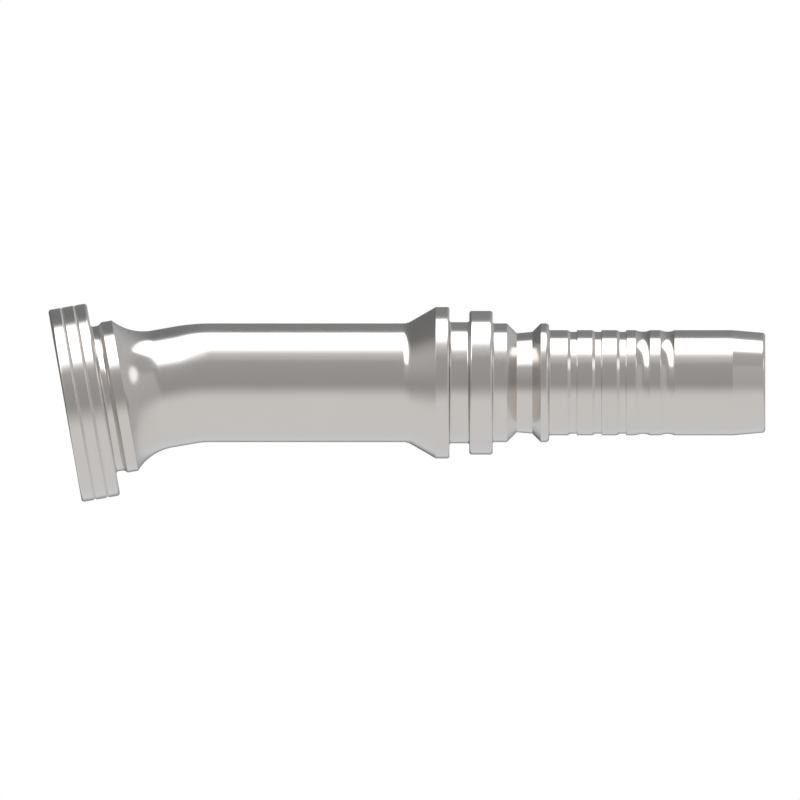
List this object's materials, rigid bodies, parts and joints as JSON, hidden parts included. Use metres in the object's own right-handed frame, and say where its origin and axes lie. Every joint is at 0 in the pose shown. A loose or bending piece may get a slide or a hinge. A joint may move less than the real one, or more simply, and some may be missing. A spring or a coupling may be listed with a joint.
{
  "type": "hose nipple",
  "caption": "Bent steel hose nipple with a flanged sealing head, a smooth tube and a collared, grooved tail that a hose and its ferrule lock onto.",
  "frame": {"origin": "middle of the flat sealing face at the flange head, where the bore's axis leaves it", "axes": "+Z runs from the sealing face into the part along the head's axis, the bend lies in the XZ plane and leans the hose end towards +X"},
  "size_m": [0.0598, 0.0476, 0.1714],
  "materials": {
    "steel": "smooth turned steel with fine tool lines around each axis and a warm grey plated tone"
  },
  "bodies": {
    "root": {"hose_nipple": "steel"}
  },
  "joints": []
}
